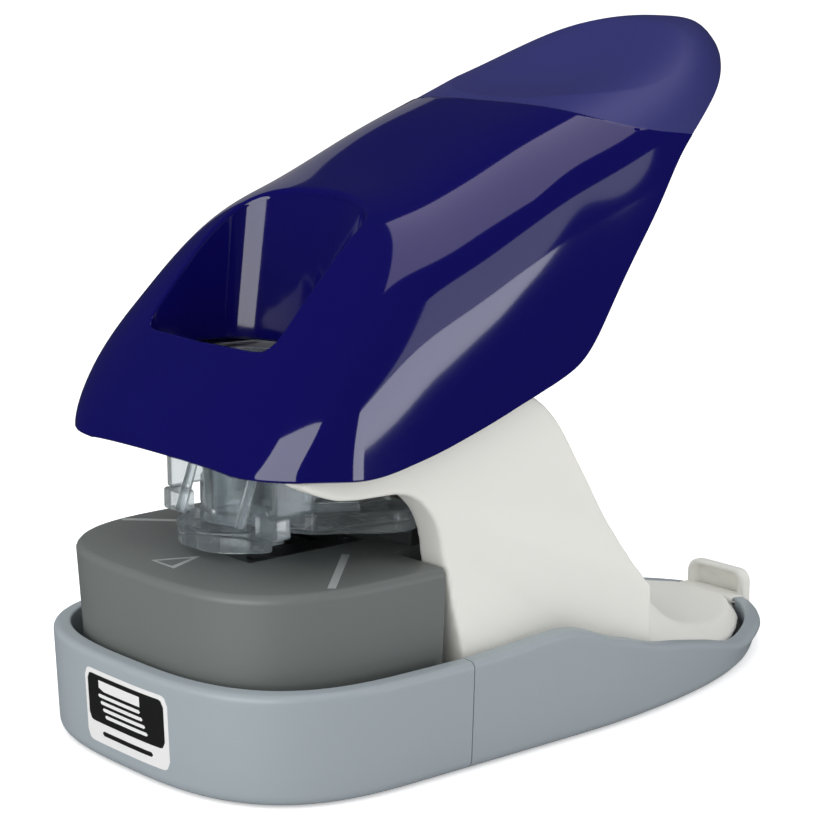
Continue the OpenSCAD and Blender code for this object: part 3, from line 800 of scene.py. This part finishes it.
def build_base():
    line = even(rounded_front(BASE_HALF_WIDTH, BASE_FRONT, SEAM - SEAM_GAP), 260)
    ring = sweep("base_front_ring", line, -right_normals(line),
                 lambda x, y: wall_profile(RING_TOP))
    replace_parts(ring, "base_front")
    line = curve(TAIL, 12)
    line = line[line[:, 1] >= SEAM + 0.02]
    line[0, 1] = SEAM + SEAM_GAP
    line = even(np.vstack([line, line[::-1][1:] * [-1, 1]]), 300)
    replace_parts(sweep("base_rear_shell", line, right_normals(line), tail_profile), "base_rear")


build_base()

# ------------------------------------------------------------------ paper table
TABLE_TOP = 31.0
# inset of the outline, height
TABLE_SECTION = [
    (-0.05, 12.5), (-0.15, 17.5), (-0.8, TABLE_TOP - 1.5), (-0.82, TABLE_TOP - 1.15),
    (-0.68, TABLE_TOP - 0.75), (-0.28, TABLE_TOP - 0.25), (0.02, TABLE_TOP - 0.06),
    (0.3, TABLE_TOP)]
TABLE_HOLE = [(-8.2, -48.2), (8.2, -48.2), (8.2, -25.8), (-8.2, -25.8)]


def table_outline(inset):
    shrink = max(inset, 0)
    shoulder, back, x = -27.4 - shrink, -20.2 - shrink, 17 - shrink
    front = rounded_front(28.8 - inset, -63.4 + inset, shoulder, 70, 3.1)
    tongue = [(-x, shoulder), (-x, back), (x, back), (x, shoulder)]
    return even(np.vstack([front, tongue]), 260, closed=True)


def fill_table_top(bm):
    edges = [e for e in bm.edges if e.is_boundary
             and all(abs(vert.co.z / MM - TABLE_TOP) < 1e-4 for vert in e.verts)]
    bmesh.ops.triangle_fill(bm, edges=edges, use_beauty=True, normal=(0, 0, 1))


def build_table():
    rings = [np.column_stack([q, np.full(len(q), z)])
             for q, z in ((table_outline(inset), z) for inset, z in TABLE_SECTION)]
    m = len(rings[0])
    upper = len(rings) * m
    lower = upper + 4
    hole = [[(x, y, z) for x, y in TABLE_HOLE] for z in (TABLE_TOP, TABLE_TOP - 1.6)]
    faces = grid_faces(len(rings), m, True)
    faces += [(upper + i, upper + (i + 1) % 4, lower + (i + 1) % 4, lower + i)
              for i in range(4)]
    table = mesh("paper_table_top", np.concatenate(rings + hole), faces, "table_grey", "base",
                 angle=50, fix=False)
    fix_normals(table, fill_table_top)
    shade(table, 50)
    wall = table.modifiers.new("wall", "SOLIDIFY")
    wall.thickness = 2.0 * MM
    wall.offset = -1
    wall.use_even_offset = False
    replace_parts(table, "paper_table")


def table_mark(name, points, width, closed=False):
    """a thin printed line on the table"""
    points = np.asarray(points, float)
    before = points - np.roll(points, 1, 0)
    along = np.roll(points, -1, 0) - np.roll(points, 1, 0) if closed \
        else np.gradient(points, axis=0)
    along /= np.linalg.norm(along, axis=1, keepdims=True)
    side = np.column_stack([-along[:, 1], along[:, 0]])
    if closed:      # widen the corners to a mitre
        before /= np.linalg.norm(before, axis=1, keepdims=True)
        side /= np.maximum(0.3, np.einsum("ij,ij->i", before, along))[:, None]
    low, high = TABLE_TOP, TABLE_TOP + 0.02
    rings = [np.array([(*a, low), (*b, low), (*b, high), (*a, high)])
             for a, b in zip(points + side * width / 2, points - side * width / 2)]
    if closed:
        rings.append(rings[0])
    loft(name, rings, "mark_grey", "base",
         ends="open" if closed else "capped", smooth=False)


build_table()
for side_name, side in (("right", 1), ("left", -1)):
    table_mark("table_mark_" + side_name, [(27.3 * side, -47.5), (13.6 * side, -33.8)], 1.25)
table_mark("table_mark_arrow", [(-2.6, -58.4), (2.6, -58.4), (0, -52.2)], 0.55, closed=True)

# ------------------------------------------------------------------ arm housing
ARM_BOTTOM = 3.2
CHEEK_INSIDE = 22.7
# front edge of the cheeks from the top down: y, z
ARCH = [
    (-53.4, 46.9), (-50.3, 45.3), (-46, 43.9), (-40, 43.5), (-35, 43.2), (-31.8, 41.9),
    (-29.1, 39.1), (-27.6, 35.8), (-26.8, 31), (-26.0, 25), (-24.9, 17), (-24.4, 10),
    (-24.4, ARM_BOTTOM)]
# top line of the rear wall and tail slab: y, z
SLOPE = [
    (-12, 56.5), (-7.6, 54.3), (-4, 51.2), (-0.7, 46.7), (6.7, 34.2), (16.4, 20.6),
    (24.3, 13.6), (30, 10.6), (39, 7.6), (47, 6.1), (55, 5.9), (62, 5.9)]
# top edge of the cheeks from back to front: y, z
CHEEK_TOP = [(-30, 55), (-36, 52.5), (-42, 50.3), (-50, 48.8), (-53, 47.8)]
# heights, half widths of the cheeks' outer faces
FLARE = ([3, 17, 20, 24.5, 29, 34, 45, 58],
         [30.8, 30.8, 30.5, 29.8, 29.2, 28.7, 28.5, 28.2])
# y stations, half widths of the slab's level top
SLAB_LEVEL = ([-9, 0, 5, 12, 16.4, 20, 24.3, 30, 39, 46.4, 52, 56.5, 60.8],
              [27.6, 27.9, 28.2, 28.0, 27.2, 26.2, 24.9, 23.1, 19.6, 16.5, 13.5, 10.2, 5.0])
# y stations, half widths of the slab at its sides
SLAB_SIDE = ([-9, 0, 5, 10, 14, 20, 26, 33, 40, 47, 52, 56.5, 59, 60.8],
             [28.3, 28.6, 29.1, 29.8, 30.1, 29.4, 28.1, 26.2, 23.7, 20.4, 17.0, 13.3, 10.4,
              7.6])


def cheek(side):
    back = curve([(16.4, 20.7), (12.5, 25.5)] + SLOPE[4::-1], 6)
    outline = np.vstack([curve(ARCH, 6), [(16.4, ARM_BOTTOM)], back, CHEEK_TOP])
    flare = np.interp(outline[:, 1], *FLARE)
    layers = [np.column_stack([side * (CHEEK_INSIDE + (flare - CHEEK_INSIDE) * u), outline])
              for u in np.linspace(0, 1, 9)]
    return loft("c", layers, None, "base")


def slab():
    """rear wall and tail as one height field, its sides running down to the base's rim"""
    stations = np.concatenate([np.linspace(-8.2, 30, 60), np.linspace(30.6, 60.8, 60)])
    across = np.linspace(-1, 1, 81)
    n, m = len(stations), len(across)
    top, under = [], []
    for y in stations:
        height = float(smooth_table(SLOPE, y))
        level = np.interp(y, *SLAB_LEVEL)
        side = max(np.interp(y, *SLAB_SIDE), level + 0.4)
        rim = float(smooth_table(RIM, y)) - 0.9
        x = across * side
        fall = smoothstep(0, 1, (np.abs(x) - level) / (side - level))
        z = height - (height - max(3.3, min(rim, height - 0.6))) * fall
        low = max(ARM_BOTTOM, height - 3.4) if y < 15.2 else ARM_BOTTOM
        top.append(np.column_stack([x, np.full(m, y), z]))
        under.append(np.column_stack([x, np.full(m, y), np.full(m, low)]))
    faces = grid_faces(n, m) + grid_faces(n, m, start=n*m, flip=True)
    for i in range(n - 1):
        for j in (0, m - 1):
            faces.append((i*m + j, (i+1)*m + j, n*m + (i+1)*m + j, n*m + i*m + j))
    for j in range(m - 1):
        for i in (0, n - 1):
            faces.append((i*m + j, i*m + j + 1, n*m + i*m + j + 1, n*m + i*m + j))
    return mesh("s", np.concatenate(top + under), faces, None, "base")


def build_arm():
    arm = join("arm_housing_shell", [cheek(-1), cheek(1), slab()], "arm_white", "base")
    voxel, passes = ((0.42, 10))
    merge = arm.modifiers.new("merge", "REMESH")
    merge.mode = "VOXEL"
    merge.voxel_size = voxel * MM
    merge.adaptivity = 0
    soften = arm.modifiers.new("soften", "SMOOTH")
    soften.factor = 0.5
    soften.iterations = passes
    apply_modifiers(arm)
    shade(arm)
    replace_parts(arm, "arm_housing")


build_arm()

# ------------------------------------------------------------------ release tab at the tail
TAB_HALF_WIDTH, TAB_CORNER, TAB_CORNER_Z = 6.9, 2.2, 7.3
# scale of the outline about its centre, y
TAB_SECTION = [
    (0.66, 65.9), (0.70, 65.5), (0.75, 65.0), (0.82, 64.66), (0.90, 64.5), (0.97, 64.6),
    (1.0, 64.95), (1.0, 66.4), (0.97, 66.85), (0.90, 67.08), (0.8, 67.1)]
# side outline of the foot: y, z
TAB_FOOT = [(61.45, 4.6), (61.6, 3.4), (61.9, 3.15), (65.6, 3.15), (65.6, 5.15), (62.6, 5.2),
            (61.8, 5.1)]


def build_tab():
    cx = TAB_HALF_WIDTH - TAB_CORNER
    outline = np.array(corner(cx, TAB_CORNER_Z, TAB_CORNER, 0, 11)
                       + corner(-cx, TAB_CORNER_Z, TAB_CORNER, 90, 11)
                       + [(-TAB_HALF_WIDTH, 3.2), (TAB_HALF_WIDTH, 3.2)])
    centre = np.array([0, 6.0])
    rings = []
    for scale, y in TAB_SECTION:
        q = centre + (outline - centre) * scale
        rings.append(np.column_stack([q[:, 0], np.full(len(q), y), q[:, 1]]))
    hook = loft("release_tab_hook", rings, "arm_white", "release", angle=60)
    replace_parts(hook, "release_tab")
    prism("release_tab_foot", TAB_FOOT, -6.85, 6.85, "arm_white", "release",
          bevel=0.2, segments=2, axis="x")


build_tab()

# ------------------------------------------------------------------ label on the front ring
FRONT_LINE = even(rounded_front(BASE_HALF_WIDTH, BASE_FRONT, SEAM), 1200)
FRONT_LENGTHS = arc_lengths(FRONT_LINE)
FRONT_OUTWARD = -right_normals(FRONT_LINE)
# ends of the label along the ring from its middle (positive towards -x), and its heights
LABEL_START, LABEL_END, LABEL_LOW, LABEL_HIGH = -12.5, 9.0, 3.05, 14.75
FILM, PRINT = 0.07, 0.02        # thicknesses


def on_front(s, z, offset):
    """s runs along the ring's outside from its middle, positive towards -x"""
    steps = np.arange(len(FRONT_LINE))
    i = np.interp(FRONT_LENGTHS[-1] / 2 + s, FRONT_LENGTHS, steps)
    x, y = (np.interp(i, steps, column) for column in FRONT_LINE.T)
    nx, ny = (np.interp(i, steps, column) for column in FRONT_OUTWARD.T)
    out = offset - BASE_DRAFT * (1 - np.clip((z - 3.1) / 14.0, 0, 1))
    return np.stack([x + nx * out, y + ny * out, z], -1)


def rounded_box(s0, s1, z0, z1, r, count=7):
    return np.array(corner(s1 - r, z1 - r, r, 0, count) + corner(s0 + r, z1 - r, r, 90, count)
                    + corner(s0 + r, z0 + r, r, 180, count)
                    + corner(s1 - r, z0 + r, r, 270, count))


def front_patch(name, outline, offset, thickness, material):
    """a thin film made of narrow strips, so that it follows the ring's curve"""
    rings = []
    for s in np.linspace(outline[:, 0].min() + 1e-4, outline[:, 0].max() - 1e-4, 40):
        crossings = [a[1] + (b[1] - a[1]) * (s - a[0]) / (b[0] - a[0])
                     for a, b in zip(outline, np.roll(outline, -1, 0))
                     if (a[0] - s) * (b[0] - s) <= 0 and a[0] != b[0]]
        z = np.linspace(min(crossings), max(crossings), 7)
        along = np.full(7, s)
        rings.append(np.vstack([on_front(along, z, offset + thickness),
                                on_front(along, z[::-1], offset)]))
    return loft(name, rings, material, "base", angle=30)


def build_label():
    """a stack-of-sheets picture on a dark panel, with a plain bar below"""
    low = LABEL_LOW
    film = front_patch("info_label_film",
                       rounded_box(LABEL_START, LABEL_END, low, LABEL_HIGH, 1.5),
                       0.0, FILM, "label_white")
    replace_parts(film, "info_label")
    panel = rounded_box(LABEL_START + 0.9, LABEL_END - 0.8, low + 3.3, LABEL_HIGH - 0.75, 1.1)
    front_patch("info_label_panel", panel, FILM, PRINT, "label_black")
    over = FILM + PRINT
    for k in range(4):
        z, shift = low + 4.35 + 1.05 * k, 0.55 * k
        front_patch("info_label_sheet_%d" % (k + 1),
                    rounded_box(-7.6 + shift, 3.6 + shift, z, z + 0.55, 0.25, 4),
                    over, PRINT, "label_white")
    fold = np.array([(5.0, low + 9.0), (5.0, low + 10.2), (-5.9, low + 10.2),
                     (-5.9, low + 8.6), (3.6, low + 8.6)])
    front_patch("info_label_fold", fold, over, PRINT, "label_white")
    front_patch("info_label_bar", rounded_box(-8.6, 4.6, low + 1.35, low + 2.1, 0.3, 4),
                FILM, PRINT, "label_black")


build_label()

# ------------------------------------------------------------------ clear presser
PLATE_LOW, PLATE_HIGH = 35.4, 38.9
COLUMN_Y = -42.5
# plan outlines of the right half: x, y
WING = [(4.6, -45.4), (8.6, -44.4), (12.5, -42.4), (15.4, -40.2), (17.6, -36.6),
        (20.4, -33.4), (22.1, -29.8), (21.8, -26.6), (19.6, -24.95)]
WING_INNER = [(13.0, -24.95), (13.0, -39.2), (4.6, -39.9)]
FOOT = [(0, -53.0), (4.0, -52.7), (6.8, -50.9), (8.6, -48.6), (9.9, -46.8), (9.7, -45.0),
        (7.2, -44.6)]
# name, plan outline on the right, low z, high z, bevel, bevel segments
UPRIGHTS = [
    ("side", [(12.9, -47.6), (14.3, -47.6), (14.3, -26.2), (12.9, -26.2)], 39.0, 46.8, 0.3, 3),
    ("panel", [(12.9, -47.6), (14.3, -47.6), (14.3, -40.4), (12.9, -40.4)],
     46.85, 49.8, 0.2, 2),
    ("toe", [(9.4, -48.2), (14.6, -48.2), (14.6, -44.9), (9.4, -45.6)],
     PLATE_LOW, PLATE_HIGH, 0.5, 3)]
# side outline of the slanting strut: y, z
STRUT = [(-50.4, 36.6), (-48.9, 36.4), (-45.6, 46.2), (-46.6, 46.8)]
# plan outline of the left bridge
BRIDGE = np.array([(-12.8, -41.6), (-6.7, -44.2), (-6.7, -41.2), (-7.2, -40.1),
                   (-12.8, -40.1)])
# radius, z round the tube's wall
COLUMN = [(7.3, 36.1), (7.3, 37.6), (6.8, 38.1), (6.8, 59.6), (6.95, 59.9), (6.95, 60.9),
          (6.75, 61.3), (6.4, 61.45), (5.5, 61.45), (5.2, 61.2), (5.2, 60.4), (5.2, 36.4),
          (5.4, 36.1)]


def clear_prism(name, outline, start, end, bevel, segments, axis="z"):
    return prism("presser_" + name, outline, start, end, "clear", "presser",
                 bevel, segments, angle=30, axis=axis)


def presser_lip(wing, side):
    """outline of the lip standing along the wing's front edge"""
    x, y = wing.T
    edge = wing[(x > 6.0) & (x < 19.2) & (y < -33)] * [side, 1]
    normals = right_normals(edge)
    outward = np.sign(((edge - [8.0 * side, -30.0]) * normals).sum(1))[:, None]
    return np.vstack([edge, (edge - normals * outward * 1.1)[::-1]])[::side]


def presser_half(side):
    """the paired pieces of one side; returns the wing"""
    suffix = "_right" if side > 0 else "_left"
    edge = curve(WING, 5)
    outline = (np.vstack([edge, WING_INNER]) * [side, 1])[::side]
    wing = clear_prism("wing" + suffix, outline, PLATE_LOW, PLATE_HIGH, 0.45, 3)
    clear_prism("lip" + suffix, presser_lip(edge, side), 38.95, 40.3, 0.25, 2)
    for name, points, *sizes in UPRIGHTS:
        clear_prism(name + suffix, np.array(points) * [side, 1], *sizes)
    clear_prism("strut" + suffix, STRUT, 7.1 * side, 8.3 * side, 0.25, 2, axis="x")
    return wing


def build_presser():
    left_wing = presser_half(-1)
    presser_half(1)
    half_foot = curve(FOOT, 5)[1:]
    foot = np.vstack([half_foot, [(7.2, -40.6), (-7.2, -40.6)], half_foot[::-1] * [-1, 1]])
    clear_prism("foot", foot, 32.5, 35.9, 0.6, 4)
    turns = np.linspace(0, 2 * math.pi, 96, endpoint=False)
    rings = [np.column_stack([r * np.cos(turns), COLUMN_Y + r * np.sin(turns),
                              np.full(96, z)]) for r, z in COLUMN]
    loft("presser_column", rings, "clear", "presser", angle=35, ends="joined")
    mirrored = np.roll(BRIDGE[::-1], 1, 0) * [-1, 1]
    for name, outline in (("bridge", BRIDGE), ("bridge_2", mirrored)):
        clear_prism(name, outline, 39.0, 44.5, 0.3, 2)
    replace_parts(left_wing, "clear_presser")


build_presser()

# ------------------------------------------------------------------ visible CAD pieces
EASED = ("chassis", "lever_frame", "back_stops", "throat_liner", "punch_carriage",
         "tucker_bracket", "die_plate", "bottom_plate", "base_screws", "handle_screws")
SMOOTHED = ("guide_posts", "drive_pin", "pivot_pins", "rubber_feet", "return_springs",
            "presser_springs", "tucker_spring", "pivot_bushes")
for name, obj in frame["nodes"].items():
    if obj.hide_render:
        continue
    material = next(part["material_slot"] for part in frame["record"]["subparts"]
                    if part["node"] == name)
    if material == "label":
        material = "label_white"
    if name == "back_stops":
        material = "post_grey"
    obj.data.materials.clear()
    obj.data.materials.append(MATERIALS[material])
    if name in EASED:
        add_bevel(obj, width=0.18, segments=2, angle=40)
    if name in SMOOTHED:
        shade(obj, 40)


# ------------------------------------------------------------------ floor, camera, light
def build_floor():
    """pale floor, brightened only for the camera"""
    material, tree, surface = new_material("floor_pale")
    MATERIALS["floor_pale"] = material
    cloud = add(tree, "TexNoise", {"Scale": 3.0}).outputs["Fac"]
    seen = add(tree, "LightPath").outputs["Is Camera Ray"]
    # plain colour, left under the link made next
    surface.inputs["Base Color"].default_value = (0.88, 0.88, 0.885, 1)
    fill(tree, surface, {
        "Base Color": mix_colours(tree, cloud, (0.875, 0.875, 0.88, 1), (0.89, 0.89, 0.895, 1)),
        "Roughness": 0.9, "Specular IOR Level": 0.1, "Emission Color": (1, 1, 1, 1),
        "Emission Strength": calculate(tree, "MULTIPLY", seen, 0.42)})
    s, z = 6000.0, -0.02
    floor = mesh("stage_floor", [(-s, -s, z), (s, -s, z), (s, s, z), (-s, s, z)],
                 [(0, 1, 2, 3)], "floor_pale", None, smooth=False, fix=False)
    floor.visible_glossy = False


def face_along(obj, direction):
    obj.rotation_mode = "QUATERNION"
    obj.rotation_quaternion = direction.to_track_quat("-Z", "Y")


def build_camera():
    azimuth, elevation = math.radians(49.774), math.radians(11.421)
    back = Vector((math.sin(azimuth) * math.cos(elevation),
                   -math.cos(azimuth) * math.cos(elevation), math.sin(elevation)))
    camera = bpy.data.cameras.new("camera")
    obj = add_object("camera", camera)
    obj.location = (0.29793, -0.26189, 0.12766)
    face_along(obj, -back)
    camera.sensor_width = 36
    camera.lens = 108.15
    camera.clip_start = 0.01
    camera.clip_end = 50
    bpy.context.scene.camera = obj


def softbox(name, direction, width, height, radiance, colour=(1, 1, 1), reflected=True):
    """rectangular light one metre from the product, in metres; it either shows in
    reflections and refractions or only brightens diffuse surfaces"""
    direction = Vector(direction).normalized()
    light = bpy.data.lights.new(name, "AREA")
    light.shape = "RECTANGLE"
    light.size = width
    light.size_y = height
    light.energy = radiance * math.pi * width * height
    light.color = colour
    obj = add_object(name, light)
    obj.location = Vector((0, 0, 0.05)) + direction
    face_along(obj, -direction)
    obj.visible_diffuse = not reflected
    obj.visible_glossy = reflected
    obj.visible_transmission = reflected


def build_world():
    """white to the camera, nearly dark in reflections, white light otherwise"""
    world = bpy.data.worlds.new("studio")
    bpy.context.scene.world = world
    world.use_nodes = True
    tree = world.node_tree
    ray = add(tree, "LightPath").outputs
    lighting = tree.nodes["Background"]
    fill(tree, lighting, {"Color": (1, 1, 1, 1), "Strength": 0.97})
    seen = add(tree, "Background", {"Color": (1, 1, 1, 1), "Strength": 1.0})
    mirrored = add(tree, "Background", {"Color": (0.8, 0.85, 1, 1), "Strength": 0.035})
    unseen = mix_shaders(tree, ray["Is Glossy Ray"], lighting.outputs[0], mirrored.outputs[0])
    mixed = mix_shaders(tree, ray["Is Camera Ray"], unseen, seen.outputs[0])
    fill(tree, tree.nodes["World Output"], {"Surface": mixed})


build_floor()
build_camera()
COOL = (0.92, 0.94, 1.0)
# name, direction, width, height, radiance, other settings
SOFTBOXES = [
    ("key_top", (0.15, -0.45, 1.0), 0.9, 0.8, 0.75,
     {"colour": (1, 0.99, 0.97), "reflected": False}),
    ("front_left", (-0.25, -0.95, 0.25), 0.8, 0.8, 0.95,
     {"colour": (1, 1, 0.98), "reflected": False}),
    ("top_band", (0.10, 0.25, 0.93), 0.95, 0.62, 1.25, {"colour": (0.92, 0.84, 1.0)}),
    ("strip_right", (0.872, 0.484, -0.08), 0.26, 0.52, 4.0, {"colour": COOL}),
    ("strip_right_high", (0.84, 0.46, 0.36), 0.21, 0.36, 1.1, {"colour": COOL}),
    ("front_box", (0.31, -0.93, 0.20), 0.95, 0.95, 3.4, {}),
    ("low_left", (-0.87, 0.48, 0.22), 0.22, 0.42, 0.22, {}),
]
for *values, more in SOFTBOXES:
    softbox(*values, **more)
build_world()
bpy.context.scene.view_settings.view_transform = "Standard"
